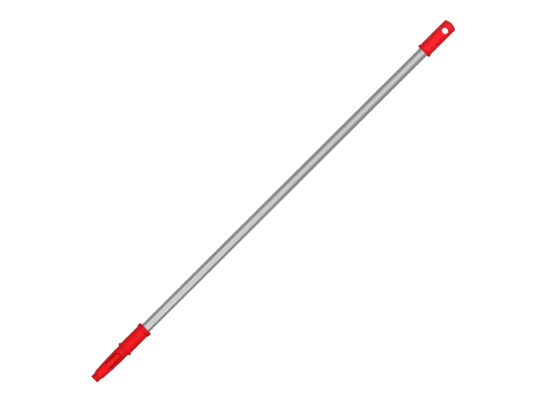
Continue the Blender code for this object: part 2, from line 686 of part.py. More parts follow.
def main():
    clear_scene()
    red = make_material("red moulding", RED, 0.38, 0.0)
    tongue_red = make_material("red tongue", RED_DARK, 0.38, 0.0)
    outer_aluminium = make_material("anodised aluminium", ALUMINIUM, 0.32, 1.0)
    inner_aluminium = make_material("drawn aluminium", ALUMINIUM, 0.28, 1.0)
    steel = make_material("zinc-plated steel", STEEL, 0.35, 1.0)
    nylon = make_material("natural nylon", NYLON, 0.50, 0.0)
    plastic = make_material("grey acetal", GREY_PLASTIC, 0.50, 0.0)
    rubber = make_material("black rubber", BLACK, 0.80, 0.0)

    make_outer_tube(outer_aluminium)
    make_collar(red)
    collar_station = COLLAR_FRONT + COLLAR_RIVET_FROM_FRONT
    make_rivet("collar_rivet", collar_station, COLLAR_RIVET_ANGLE, COLLAR_DIAMETER / 2, red)
    make_guide_bush(nylon)
    make_end_cap(red)
    cap_station = CAP_FRONT + CAP_RIVET_FROM_FRONT
    make_rivet("cap_rivet", cap_station, CAP_RIVET_ANGLE, CAP_DIAMETER / 2, red)

    root_height = (cone_radius(TONGUE_ROOT) + tongue_underside(TONGUE_ROOT)) / 2
    tongue_hinge = carry(
        "tongue_hinge",
        on_axis(TONGUE_ROOT, 0, root_height),
        [make_click_tongue(tongue_red)],
    )
    inner_twist = carry(
        "inner_twist",
        on_axis(PLUG_REAR),
        [
            make_inner_tube(inner_aluminium),
            make_cone_tip(red),
            make_cone_pin(steel),
            make_tail_plug(plastic),
            make_plug_rivet(steel),
            make_lock_spindle(steel),
            make_washer("thrust_washer", THRUST_WASHER_FRONT, steel),
            make_washer("end_washer", END_WASHER_FRONT, steel),
            make_end_clip(steel),
            tongue_hinge,
        ],
    )
    wedge_slide = carry("wedge_slide", on_axis(WEDGE_REAR), [make_wedge_nut(plastic)])
    carry(
        "lock_slide",
        on_axis(EXPANDER_FRONT),
        [make_expander(nylon), make_grip_ring(rubber), inner_twist, wedge_slide],
    )


main()
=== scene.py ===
"""The looks of a telescopic roller pole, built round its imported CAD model.

The pole lies along X. Each piece is a fine mesh that stands for its CAD solid, rides on that
solid's body and leaves its box by 0.05 mm at most. Sizes are in metres, a "station" is a
distance from the nose, and an angle round the pole is from the top towards +Y.
"""

import math

import bmesh
import bpy
import numpy as np
from mathutils import Matrix, Vector


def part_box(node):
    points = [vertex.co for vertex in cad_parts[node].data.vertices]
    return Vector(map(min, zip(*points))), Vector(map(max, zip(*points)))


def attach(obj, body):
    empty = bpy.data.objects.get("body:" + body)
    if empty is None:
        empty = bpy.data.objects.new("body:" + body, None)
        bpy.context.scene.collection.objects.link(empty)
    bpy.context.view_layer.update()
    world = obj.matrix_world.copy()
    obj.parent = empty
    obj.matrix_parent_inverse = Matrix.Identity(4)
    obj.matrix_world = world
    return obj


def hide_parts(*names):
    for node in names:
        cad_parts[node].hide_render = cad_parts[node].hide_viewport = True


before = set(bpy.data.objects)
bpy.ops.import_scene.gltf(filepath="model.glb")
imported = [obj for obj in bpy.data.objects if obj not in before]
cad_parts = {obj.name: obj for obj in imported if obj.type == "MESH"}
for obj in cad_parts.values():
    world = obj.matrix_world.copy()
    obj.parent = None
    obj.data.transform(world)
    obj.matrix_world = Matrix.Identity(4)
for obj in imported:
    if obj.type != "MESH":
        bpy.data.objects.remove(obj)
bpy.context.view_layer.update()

# ---- sizes

CAD_SIDES = 40
SMALL_CAD_SIDES = 24
FLAT = math.cos(math.pi / CAD_SIDES)  # a fine round piece is turned to the flats of its CAD solid
SMALL_FLAT = math.cos(math.pi / SMALL_CAD_SIDES)
SIDES = 192
SMALL_SIDES = 96
GAP = 0.0003
ARC = 6  # steps in a right-angled rounded corner
SUPPORT = 0.00015  # how near a corner a straight run gets its extra point
NEARLY_STRAIGHT = math.radians(176)
MOST_OF_RUN = 0.46  # the share of a straight run that one rounded corner may take
MERGE = 0.000002  # points that a cut leaves nearer than this become one
SEAMS = (math.pi / 2, 3 * math.pi / 2)  # the angles at which two mould halves meet
SEAM_HEIGHT = 0.00004
SEAM_HALF_ANGLE = 0.012
SEAM_STEPS = (-0.020, -0.011, -0.005, 0.005, 0.011, 0.020)  # extra sides round a seam, in radians

NOSE_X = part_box("cone_tip")[0].x
TUBE_LOW, TUBE_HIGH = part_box("outer_tube")
AXIS_Z = (TUBE_LOW.z + TUBE_HIGH.z) / 2

NOSE_RADIUS = 0.0102
NOSE_BORE_RADIUS = 0.0065
CONE_START = 0.0128
CONE_LENGTH = 0.0652
CONE_FRONT_RADIUS = 0.0121
CONE_REAR_RADIUS = 0.01505
CONE_BULGE = 0.0003
NECK_START = 0.0780
NECK_RADIUS = 0.01475
CONE_REAR = 0.0924
CONE_SOCKET_END = 0.0400
GUIDE_RADIUS = 0.0103
SLEEVE_RADIUS = 0.0111
NIB_STATION = 0.0460
NIB_LENGTH = 0.0042
NIB_HEIGHT = 0.0010
NIB_ROUND = 0.0005
NIB_PATCH = 0.0045  # how far the painted shade reaches round the nib
PIN_STATION = 0.0854
PIN_RADIUS = 0.0016
PIN_WALL = 0.0009
PIN_TAPER = 0.0005
PIN_SLIT_HALF = 0.00016

TONGUE_ROOT = 0.0425
TONGUE_TIP = 0.0785
TONGUE_HALF_WIDTH = 0.00560
TONGUE_SLOT = 0.0023
SLOT_ROUND = 0.0005
TONGUE_ROOT_THICKNESS = 0.0020
TONGUE_TIP_THICKNESS = 0.0021
TONGUE_EDGE = 0.00035
LUG_FRONT = 0.0635
LUG_REAR = 0.0730
LUG_HALF_WIDTH = 0.0035
LUG_HEIGHT = 0.0012
LUG_CREST_SHARE = 0.62
LUG_BACK = 0.0007  # length of its steep rear face
LUG_SIDE = 0.0006  # and the width of its sloping sides

COLLAR_FRONT = 0.0927
COLLAR_REAR = 0.1613
COLLAR_RADIUS = 0.01595
FLANGE_RADIUS = 0.0186
FLANGE_LENGTH = 0.0058
BEAD_RADIUS = 0.0180
BEAD_LENGTH = 0.0112
LIP_LENGTH = 0.0090
RIVET_RADIUS = 0.0014
RIVET_RECESS = 0.0004
RIVET_FIT = 0.985  # its shank as a share of its CAD solid's
RIVET_DOME = 0.0004
RIVET_DISH = 0.0006  # depth at which its hole starts to open out
COLLAR_RIVET_STATION = 0.1332
COLLAR_RIVET_ANGLE = 17.0

TUBE_FRONT = 0.1053
TUBE_REAR = 1.0754
TUBE_RADIUS = 0.0125
TUBE_BORE_RADIUS = 0.0113
SOCKET_RADIUS = 0.0128
INNER_FRONT = 0.0403
INNER_RADIUS = 0.0100
INNER_BORE_RADIUS = 0.0090

CAP_FRONT = 1.0277
CAP_END = 1.1170
CAP_RADIUS = 0.01625
CAP_RIM_RADIUS = 0.0178
CAP_RIM_LENGTH = 0.0064
CAP_DOME = 0.0050
CAP_SOCKET_END = 1.0757
CAP_RIVET_STATION = 1.0517
HOLE_STATION = 1.0944
HOLE_RADIUS = 0.0067
HOLE_OFFSET = -0.0011
HOLE_ROUND = 0.0009

SPINDLE_RADIUS = 0.0030
SPINDLE_BORE_RADIUS = 0.0033
SPINDLE_HEAD_RADIUS = 0.0050
THREAD_PITCH = 0.0030
THREAD_DEPTH = 0.0005
THREAD_LENGTH = 0.0240
CLIP_GROOVE_DEPTH = 0.0008
PLUG_SHOULDER_LENGTH = 0.0040
PLUG_RIBS = 5
PLUG_RIB_LENGTH = 0.0030
PLUG_RIB_PITCH = 0.0048
PLUG_RIB_HEIGHT = 0.0004
EXPANDER_WEB = 0.0090
EXPANDER_BORE_FRONT = 0.0055
EXPANDER_BORE_REAR = 0.0086
EXPANDER_GROOVES = 9
EXPANDER_GROOVE_PITCH = 0.0030
EXPANDER_GROOVE_DEPTH = 0.0003
EXPANDER_GROOVED_LENGTH = 0.0300
FINGERS = 4
FINGER_SLOT_LENGTH = 0.0330
FINGER_SLOT_HALF = 0.0008
WEDGE_TRAVEL = 0.0030
WEDGE_KEY_LENGTH = 0.0100
RING_SECTION = 0.0022

X_AXIS = Vector((1, 0, 0))
DOWN = Vector((0, 0, -1))


def station(node):
    """The stations of a CAD node's two ends."""
    low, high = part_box(node)
    return low.x - NOSE_X, high.x - NOSE_X


def middle_station(node):
    """The station of a CAD node's middle."""
    low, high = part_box(node)
    return (low.x + high.x) / 2 - NOSE_X


def half_across(node):
    """Half of a CAD node's width, which is the radius of a turned one."""
    low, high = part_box(node)
    return (high.y - low.y) / 2


def on_axis(along, across=0.0, up=0.0):
    return Vector((NOSE_X + along, across, AXIS_Z + up))


def outward(degrees):
    """The direction away from the pole's axis at an angle from the top towards +Y."""
    turn = math.radians(degrees)
    return Vector((0, math.sin(turn), math.cos(turn)))


def ease(value):
    """0 to 1 with a soft start and end."""
    value = max(0.0, min(1.0, value))
    return value * value * (3 - 2 * value)


# ---- meshes


def link(made):
    bpy.context.scene.collection.objects.link(made)
    return made


def add_mesh(name, points, faces, wear_and_shade=None):
    """An object from arrays, with its normals outward and a value at each point: above 0 for rubbed edges,
    below 0 for darkening that is mostly painted shade.
    """
    mesh = bpy.data.meshes.new(name)
    mesh.from_pydata([tuple(p) for p in points], [], faces)
    form = bmesh.new()
    form.from_mesh(mesh)
    bmesh.ops.recalc_face_normals(form, faces=form.faces)
    form.to_mesh(mesh)
    form.free()
    values = np.zeros(len(mesh.vertices), np.float32) if wear_and_shade is None else np.array(wear_and_shade, np.float32)
    mesh.attributes.new("wear_and_shade", "FLOAT", "POINT").data.foreach_set("value", values)
    mesh.shade_smooth()
    return link(bpy.data.objects.new(name, mesh))


def rounded(corners, steps=ARC):
    """Turns the corners of a closed outline into (distance, radius, wear) points.

    Corners are (distance, radius, round), clockwise round the solid. Long straight runs get a
    point near each end, which keeps them flat when they are shaded smooth.
    """
    count = len(corners)
    points = []
    for i, corner in enumerate(corners):
        here = Vector(corner[:2])
        before = Vector(corners[i - 1][:2]) - here
        after = Vector(corners[(i + 1) % count][:2]) - here
        size = corner[2] if len(corner) > 2 else 0.0
        if size == 0.0 or before.length < 1e-9 or after.length < 1e-9:
            points.append((here.x, here.y, 0.0))
            continue
        u, v = before.normalized(), after.normalized()
        angle = math.acos(max(-1.0, min(1.0, u.dot(v))))
        if angle > NEARLY_STRAIGHT:
            points.append((here.x, here.y, 0.0))
            continue
        room = MOST_OF_RUN * min(before.length, after.length)
        reach = min(size / math.tan(angle / 2), room)
        size = reach * math.tan(angle / 2)
        centre = here + (u + v).normalized() * size / math.sin(angle / 2)
        first = here + u * reach - centre
        last = here + v * reach - centre
        turn = math.pi - angle
        convex = 1.0 if u.x * v.y - u.y * v.x > 0 else 0.0
        bends = max(2, round(steps * turn / (math.pi / 2)))
        for k in range(bends + 1):
            share = k / bends
            mixed = first * math.sin((1 - share) * turn) + last * math.sin(share * turn)
            spot = centre + mixed / math.sin(turn)
            points.append((spot.x, spot.y, convex * math.sin(math.pi * share)))
    finished = []
    for i, point in enumerate(points):
        following = points[(i + 1) % len(points)]
        finished.append(point)
        run = math.hypot(following[0] - point[0], following[1] - point[1])
        if run > 4 * SUPPORT and max(point[1], following[1]) > 0:
            for share in (SUPPORT / run, 1 - SUPPORT / run):
                finished.append((
                    point[0] + (following[0] - point[0]) * share,
                    point[1] + (following[1] - point[1]) * share,
                    0.0,
                ))
    return finished


def turned(name, profile, sides=SIDES, start=None, along=X_AXIS, lines=(), shape=None):
    """A closed profile turned round an axis. A radius of 0 is one point on the axis.

    lines are the angles, from the top, where extra sides leave room for a fine ridge.
    shape(distance, radius, angle) returns the radius that is used.
    """
    start = on_axis(0.0) if start is None else start
    up = Vector((0, 0, 1)) if abs(along.z) < 0.9 else Vector((1, 0, 0))
    up = (up - along * up.dot(along)).normalized()
    side = up.cross(along)
    turns = [math.tau * i / sides for i in range(sides)]
    for line in lines:
        turns += [(line + delta) % math.tau for delta in SEAM_STEPS]
    turns = sorted(set(round(turn, 6) for turn in turns))
    points, wear_and_shade, rings = [], [], []
    for distance, radius, wear_and_shade_value in profile:
        centre = start + along * distance
        if radius < 1e-7:
            rings.append([len(points)])
            points.append(centre)
            wear_and_shade.append(wear_and_shade_value)
            continue
        rings.append(list(range(len(points), len(points) + len(turns))))
        for turn in turns:
            reach = shape(distance, radius, turn) if shape else radius
            points.append(centre + reach * (math.cos(turn) * up + math.sin(turn) * side))
            wear_and_shade.append(wear_and_shade_value)
    faces = []
    count = len(turns)
    for ring, following in zip(rings, rings[1:] + rings[:1]):
        here, there = len(ring), len(following)
        for i in range(count):
            j = (i + 1) % count
            corners = (ring[i % here], following[i % there], following[j % there], ring[j % here])
            face = tuple(dict.fromkeys(corners))
            if len(face) > 2:
                faces.append(face)
    return add_mesh(name, points, faces, wear_and_shade)


def cutter(name, outline, start, along, sides=SMALL_SIDES):
    """A turned solid to cut with, from (distance, radius) corners."""
    return turned(name, [(distance, radius, 0.0) for distance, radius in outline], sides, start, along)


def drill(name, first, last, radius, start, along=X_AXIS, sides=SMALL_SIDES):
    """A plain round cutter between two distances from its start."""
    outline = [(first, 0.0), (first, radius), (last, radius), (last, 0.0)]
    return cutter(name, outline, start, along, sides)


def combine(target, other, operation="DIFFERENCE"):
    """Cuts other out of target, or joins it on, and removes it."""
    modifier = target.modifiers.new("combine", "BOOLEAN")
    modifier.operation = operation
    modifier.solver = "EXACT"
    modifier.object = other
    graph = bpy.context.evaluated_depsgraph_get()
    result = bpy.data.meshes.new_from_object(target.evaluated_get(graph))
    before = target.data
    target.modifiers.clear()
    target.data = result
    result.name = target.name
    form = bmesh.new()
    form.from_mesh(result)
    bmesh.ops.remove_doubles(form, verts=form.verts, dist=MERGE)
    bmesh.ops.dissolve_degenerate(form, dist=MERGE, edges=form.edges)
    form.to_mesh(result)
    form.free()
    bpy.data.meshes.remove(before)
    bpy.data.objects.remove(other, do_unlink=True)


def rounded_block(name, low, high, size, steps=4):
    """A block with rounded edges."""
    form = bmesh.new()
    middle = (low + high) / 2
    matrix = Matrix.Translation(middle) @ Matrix.Diagonal((*(high - low), 1))
    bmesh.ops.create_cube(form, size=1, matrix=matrix)
    bmesh.ops.bevel(form, geom=form.edges[:], offset=size, segments=steps, profile=0.5, affect="EDGES")
    form.verts.index_update()
    points = [vertex.co.copy() for vertex in form.verts]
    faces = [tuple(vertex.index for vertex in face.verts) for face in form.faces]
    form.free()
    return add_mesh(name, points, faces)


def stacked(name, outline_at, levels):
    """A closed solid through plan outlines. A level is (offset, height), and height may be a
    function of the station and the distance across."""
    rings, points = [], []
    for offset, height in levels:
        ring = []
        for x, y in outline_at(offset):
            z = height(x, y) if callable(height) else height
            ring.append(len(points))
            points.append(on_axis(x, y, z))
        rings.append(ring)
    faces = [tuple(rings[0]), tuple(rings[-1])]
    count = len(rings[0])
    for low, high in zip(rings, rings[1:]):
        for i in range(count):
            j = (i + 1) % count
            faces.append((low[i], low[j], high[j], high[i]))
    return add_mesh(name, points, faces)


def flare(size, surface, steps):
    """Levels that round a hole's rim, where its wall meets a surface above it."""
    levels = []
    for k in range(steps + 1):
        turn = math.radians(74) * k / steps
        drop = size * (1 - math.sin(turn))
        levels.append((size * (1 - math.cos(turn)), lambda x, y, drop=drop: surface(x, y) - drop))
    return levels


def smooth(piece, degrees=32):
    """Shades a piece smooth, except over edges sharper than this."""
    piece.data.shade_smooth()
    piece.data.set_sharp_from_angle(angle=math.radians(degrees))
    return piece


def paint(piece, value_at):
    """Sets the attribute where value_at(station, across, up) isn't None: below 0 darkens, mostly as painted
    shade.
    """
    values = piece.data.attributes["wear_and_shade"].data
    for vertex, value in zip(piece.data.vertices, values):
        at = vertex.co
        found = value_at(at.x - NOSE_X, at.y, at.z - AXIS_Z)
        if found is not None:
            value.value = found


def parting(lowest, highest):
    """A shape for turned(): the raised seam where two mould halves meet, between two radii."""

    def shape(distance, radius, turn):
        away = min(abs(turn - seam) for seam in SEAMS)
        if not lowest < radius < highest or away > SEAM_HALF_ANGLE:
            return radius
        return radius + SEAM_HEIGHT * (1 - (away / SEAM_HALF_ANGLE) ** 2)

    return shape


# ---- tool end


def cone_radius(along):
    share = (along - CONE_START) / CONE_LENGTH
    straight = CONE_FRONT_RADIUS + (CONE_REAR_RADIUS - CONE_FRONT_RADIUS) * share
    return (straight + CONE_BULGE * 4 * share * (1 - share)) * FLAT


def cone_surface(x, y):
    """Height of the cone's skin above the axis."""
    return math.sqrt(max(cone_radius(x) ** 2 - y * y, 1e-9))


def slot_plan(offset):
    """The pocket's outline from above, grown by an offset: two sides and a round end."""
    arc, straight, end = 40, 36, 16
    half = TONGUE_HALF_WIDTH + TONGUE_SLOT + offset
    centre = TONGUE_TIP - TONGUE_HALF_WIDTH
    start = TONGUE_ROOT - GAP - offset
    run = [start + (centre - start) * i / straight for i in range(straight)]
    turns = [math.pi * i / arc - math.pi / 2 for i in range(arc + 1)]
    points = [(x, -half) for x in run]
    points += [(centre + half * math.cos(turn), half * math.sin(turn)) for turn in turns]
    points += [(x, half) for x in reversed(run)]
    points += [(start, half - 2 * half * i / end) for i in range(1, end)]
    return points


def make_cone():
    """A stepped nose, a tapered flank with the tongue's pocket, and a neck."""
    nose = NOSE_RADIUS * FLAT
    neck = NECK_RADIUS * FLAT
    flank_steps = 26
    front_clear, clear = 0.0016, 0.0022  # kept free of points, in front and in all
    corners = [
        (0.0, NOSE_BORE_RADIUS, 0.0006),
        (0.0, nose, 0.0013),
        (CONE_START, nose, 0.0003),
        (CONE_START, cone_radius(CONE_START), 0.0010),
    ]
    for i in range(1, flank_steps):
        along = CONE_START + front_clear + (CONE_LENGTH - clear) * i / flank_steps
        corners.append((along, cone_radius(along)))
    corners += [
        (NECK_START, CONE_REAR_RADIUS * FLAT, 0.0002),
        (NECK_START + GAP, neck, 0.0002),
        (CONE_REAR, neck, 0.0007),
        (CONE_REAR, GUIDE_RADIUS, 0.0004),
        (CONE_SOCKET_END, GUIDE_RADIUS),
        (CONE_SOCKET_END, NOSE_BORE_RADIUS, 0.0004),
    ]
    seam = parting(NOSE_RADIUS * 0.98, CONE_REAR_RADIUS)
    cone = turned("cone_moulding", rounded(corners), lines=SEAMS, shape=seam)

    above = 0.020  # clear of the cone's skin
    levels = [(0.0, 0.0)] + flare(SLOT_ROUND, cone_surface, 5) + [(SLOT_ROUND, above)]
    pocket = stacked("tongue_pocket", slot_plan, levels)
    combine(pocket, drill("sleeve", 0.0, CONE_REAR, SLEEVE_RADIUS * FLAT, on_axis(0.0), sides=SIDES))
    combine(cone, pocket)

    skin = cone_radius(NIB_STATION)
    low = on_axis(NIB_STATION - NIB_LENGTH / 2, -skin - NIB_HEIGHT * FLAT, -NIB_HEIGHT)
    high = on_axis(NIB_STATION + NIB_LENGTH / 2, -skin + NIB_HEIGHT, NIB_HEIGHT)
    combine(cone, rounded_block("nib", low, high, NIB_ROUND), "UNION")
    bore = PIN_RADIUS + GAP
    hole = [(-0.006, 0.0), (-0.006, bore), (-0.0004, bore)]
    hole += [(0.0, PIN_RADIUS + 2 * GAP), (0.002, PIN_RADIUS + 6 * GAP), (0.002, 0.0)]
    for sign in (-1, 1):
        combine(cone, cutter("pin_hole", hole, on_axis(PIN_STATION, sign * neck), Vector((0, sign, 0))))

    def painted_shade_and_darkening(along, across, up):
        reach = math.hypot(across, up)
        # Painted shade on the outer rim of the nose's front; the rest of the nose is a little darker all
        # over.
        if along < CONE_START - 0.0001:
            return -0.80 if along < 0.0012 and reach > 0.9 * NOSE_RADIUS else -0.35
        # Painted shade round the foot of the nib.
        if abs(along - NIB_STATION) < NIB_LENGTH / 2 and across < 0 and abs(up) < NIB_PATCH:
            return -0.6
        # Painted shade on the rear face and its rounded edge, where the neck meets the collar's flange.
        if along > CONE_REAR - 0.0004 and reach > GUIDE_RADIUS + GAP:
            return -0.8
        # The neck a little darker.
        if along > NECK_START + 0.0002 and reach > neck - 0.0002:
            return -0.1
        # Painted shade on the walls and floor of the tongue's pocket.
        in_slot = up > 0 and TONGUE_ROOT - 0.001 < along < TONGUE_TIP + TONGUE_SLOT + 0.001
        skin = cone_radius(along) if along < NECK_START else neck
        if in_slot and SLEEVE_RADIUS * 0.99 < reach < skin - GAP:
            return -1.0
        return None

    paint(cone, painted_shade_and_darkening)
    return smooth(cone)


def lug_height(x, y):
    """A ramp up from the front, a flat crest and a steep back, with soft sides."""
    if x <= LUG_FRONT or x >= LUG_REAR:
        return 0.0
    crest = LUG_FRONT + LUG_CREST_SHARE * (LUG_REAR - LUG_FRONT)
    rise = ease((x - LUG_FRONT) / (crest - LUG_FRONT))
    fall = ease((LUG_REAR - x) / LUG_BACK)
    sides = ease((LUG_HALF_WIDTH - abs(y)) / LUG_SIDE)
    return LUG_HEIGHT * FLAT * rise * fall * sides


def make_tongue():
    """The cone's skin between the slots, thinner towards its root, with a lug near the tip."""
    edge = TONGUE_EDGE
    centre = TONGUE_TIP - TONGUE_HALF_WIDTH
    back_start = LUG_REAR - 0.0012  # closer rows from here, for the lug's steep back
    back_end = LUG_REAR + 0.0001
    rows = list(np.linspace(TONGUE_ROOT, back_start, 96))
    rows += list(np.linspace(back_start, back_end, 16)[1:])
    tip_start = math.asin((back_end - centre) / TONGUE_HALF_WIDTH)
    turns = np.linspace(tip_start, math.radians(88.5), 18)[1:]
    rows += list(centre + TONGUE_HALF_WIDTH * np.sin(turns))
    insets = [0.0, 0.000012, 0.00005, 0.00012, 0.00022, edge]
    root_low = cone_radius(TONGUE_ROOT) - TONGUE_ROOT_THICKNESS
    tip_low = cone_radius(TONGUE_TIP) - TONGUE_TIP_THICKNESS

    def half_width(x):
        if x < centre:
            return TONGUE_HALF_WIDTH
        return math.sqrt(max(TONGUE_HALF_WIDTH**2 - (x - centre) ** 2, 1e-12))

    points, wear_and_shade, tops, bottoms = [], [], [], []
    for x in rows:
        half = half_width(x)
        inner = max(half - edge, 0.3 * half)
        across = [half - inset * min(1.0, (half - inner) / edge) for inset in insets]
        across += list(np.linspace(inner, 0, 22)[1:])
        across = across + [-y for y in across[-2::-1]]
        top, bottom = [], []
        for y in across:
            inward = min(half - abs(y), x - TONGUE_ROOT + 0.0002, TONGUE_TIP - x + 0.00002)
            lost = 0.0
            if inward < edge:
                lost = edge - math.sqrt(max(edge**2 - (edge - inward) ** 2, 0.0))
            top.append(len(points))
            points.append(on_axis(x, y, cone_surface(x, y) + lug_height(x, y) - lost))
            on_lug = lug_height(x, y) / LUG_HEIGHT
            wear_and_shade.append(max(on_lug**3 * 0.5, 1.0 if 0 < lost < edge * 0.6 else 0.0))
        share = (x - TONGUE_ROOT) / (TONGUE_TIP - TONGUE_ROOT)
        for y in across:
            bottom.append(len(points))
            points.append(on_axis(x, y, root_low + (tip_low - root_low) * share))
            wear_and_shade.append(0.0)
        tops.append(top)
        bottoms.append(bottom)
    faces = []
    last = len(tops[0]) - 1
    for row, following, below, below_following in zip(tops, tops[1:], bottoms, bottoms[1:]):
        for i in range(last):
            faces.append((row[i], row[i + 1], following[i + 1], following[i]))
            faces.append((below[i], below_following[i], below_following[i + 1], below[i + 1]))
        for i in (0, last):
            faces.append((row[i], following[i], below_following[i], below[i]))
    for top, bottom in ((tops[0], bottoms[0]), (tops[-1], bottoms[-1])):
        for i in range(last):
            faces.append((top[i], bottom[i], bottom[i + 1], top[i + 1]))
    tongue = add_mesh("tongue_moulding", points, faces, wear_and_shade)
    # Painted shade on the tongue's sides and underside, below its rounded top edge.
    paint(tongue, lambda x, y, up: -1.0 if math.hypot(y, up) < cone_radius(x) - edge else None)
    return smooth(tongue, 40)


def make_cone_pin():
    """A rolled spring pin: a slit tube with tapered ends."""
    half = half_across("cone_pin")
    shank = PIN_RADIUS * 0.98
    taper_length = 0.0009
    corners = [
        (-half, PIN_RADIUS - PIN_WALL, 0.00008),
        (-half, PIN_RADIUS - PIN_TAPER, 0.00012),
        (-half + taper_length, shank, 0.0006),
        (half - taper_length, shank, 0.0006),
        (half, PIN_RADIUS - PIN_TAPER, 0.00012),
        (half, PIN_RADIUS - PIN_WALL, 0.00008),
    ]
    pin = turned("cone_roll_pin", rounded(corners), SMALL_SIDES, on_axis(PIN_STATION), Vector((0, 1, 0)))
    low = on_axis(PIN_STATION - 0.0030, -half - 0.001, -PIN_SLIT_HALF)
    high = on_axis(PIN_STATION - 0.0002, half + 0.001, PIN_SLIT_HALF)
    combine(pin, rounded_block("slit", low, high, 0.00004, 2))
    return smooth(pin)


# ---- collar, cap and tubes


def rivet_cutter(name, along, angle, radius):
    """The hole for a rivet, opened out at the surface into a shallow dish."""
    bore = RIVET_RADIUS + GAP / 2
    steps = 5
    outline = [(-0.009, 0.0), (-0.009, bore), (-RIVET_DISH, bore)]
    for k in range(steps + 1):
        share = k / steps
        spread = 0.0005 * (1 - math.sqrt(1 - share**2 * 0.96))
        outline.append((-RIVET_DISH + 0.0007 * share, bore + spread))
    outline += [(0.003, bore + 0.0009), (0.003, 0.0)]
    return cutter(name, outline, on_axis(along) + outward(angle) * radius, outward(angle))


def make_rivet(name, along, angle, radius):
    """A push rivet with a low domed head inside a thin rim."""
    foot = TUBE_BORE_RADIUS + GAP
    length = radius * FLAT - RIVET_RECESS - foot
    rim = length - RIVET_DOME
    size = RIVET_RADIUS * RIVET_FIT
    dome = size * 0.86
    steps = 8
    corners = [(0.0, 0.0), (0.0, size, 0.0002), (rim, size, 0.00025)]
    for k in range(1, steps):
        turn = k / steps * math.pi / 2
        corners.append((rim + RIVET_DOME * math.sin(turn), dome * math.cos(turn)))
    corners.append((length, 0.0))
    start = on_axis(along) + outward(angle) * foot
    return turned(name, rounded(corners), SMALL_SIDES, start, outward(angle))


def make_collar():
    """A sleeve with a thin flange in front and a broad bead behind."""
    body = COLLAR_RADIUS * FLAT
    flange = FLANGE_RADIUS * FLAT
    bead = BEAD_RADIUS * FLAT
    flange_end = COLLAR_FRONT + FLANGE_LENGTH
    bead_start = COLLAR_REAR - BEAD_LENGTH
    corners = [
        (COLLAR_FRONT, GUIDE_RADIUS, 0.0004),
        (COLLAR_FRONT, flange, 0.0010),
        (flange_end, flange, 0.0011),
        (flange_end, body, 0.0012),
        (bead_start, body, 0.0022),
        (bead_start + bead - body + 0.0004, bead, 0.0022),
        (COLLAR_REAR, bead, 0.0020),
        (COLLAR_REAR, SOCKET_RADIUS, 0.0004),
        (COLLAR_FRONT + LIP_LENGTH, SOCKET_RADIUS),
        (COLLAR_FRONT + LIP_LENGTH, GUIDE_RADIUS, 0.0003),
    ]
    seam = parting(body * 0.99, body * 1.01)
    collar = turned("collar_moulding", rounded(corners, 8), lines=SEAMS, shape=seam)
    combine(collar, rivet_cutter("collar_hole", COLLAR_RIVET_STATION, COLLAR_RIVET_ANGLE, body))

    def painted_shade_and_darkening(along, across, up):
        reach = math.hypot(across, up)
        # Painted shade on the front face, where the cone's neck meets it.
        if along < COLLAR_FRONT + GAP and reach > GUIDE_RADIUS + GAP:
            return -0.8
        # Painted shade on the flange's outer rim.
        if along < flange_end and reach > flange - 0.0004:
            return -0.15
        # Painted shade on the bead, darker the higher it rises.
        if along > bead_start and reach > body:
            return -0.2 * min(1.0, (reach - body) / (bead - body))
        # Painted shade on the walls of the rivet's hole.
        if abs(along - COLLAR_RIVET_STATION) < 0.0022 and up > 0 and reach < body - 0.00012:
            return -0.9 if reach > SOCKET_RADIUS * 1.01 else None
        return None

    paint(collar, painted_shade_and_darkening)
    return smooth(collar)


def make_cap():
    """A rimmed cap with a domed end and a rounded hole right through it."""
    body = CAP_RADIUS * FLAT
    rim = CAP_RIM_RADIUS * FLAT
    rim_end = CAP_FRONT + CAP_RIM_LENGTH
    corners = [
        (CAP_FRONT, SOCKET_RADIUS, 0.0004),
        (CAP_FRONT, rim, 0.0006),
        (rim_end, rim, 0.0010),
        (rim_end, body, 0.0006),
        (CAP_END - CAP_DOME, body, 0.0022),
    ]
    dome = (body**2 + CAP_DOME**2) / (2 * CAP_DOME)
    half_angle = math.asin(body / dome)
    dome_steps = 20
    for i in range(1, dome_steps):
        turn = half_angle * (1 - i / dome_steps)
        corners.append((CAP_END - dome + dome * math.cos(turn), dome * math.sin(turn)))
    corners += [(CAP_END, 0.0), (CAP_SOCKET_END, 0.0), (CAP_SOCKET_END, SOCKET_RADIUS)]
    seam = parting(body * 0.99, body * 1.01)
    cap = turned("cap_moulding", rounded(corners, 8), lines=SEAMS, shape=seam)

    def hole(offset):
        size = HOLE_RADIUS + offset
        sides = 160
        turns = [math.tau * i / sides for i in range(sides)]
        return [(HOLE_STATION + size * math.cos(t), HOLE_OFFSET + size * math.sin(t)) for t in turns]

    def skin(x, y):
        return math.sqrt(body**2 - y * y)

    upper = flare(HOLE_ROUND, skin, 7)
    lower = [(offset, lambda x, y, height=height: -height(x, y)) for offset, height in reversed(upper)]
    ends = HOLE_ROUND * 0.9
    outside = 0.022  # past the cap's skin
    levels = [(ends, -outside)] + lower + upper + [(ends, outside)]
    combine(cap, stacked("hang_hole", hole, levels))
    combine(cap, rivet_cutter("cap_hole", CAP_RIVET_STATION, 180, body))

    # Painted shade on the rim.
    def painted_shade_and_darkening(along, across, up):
        return -0.33 if along < rim_end and math.hypot(across, up) > body else None

    paint(cap, painted_shade_and_darkening)
    return smooth(cap)


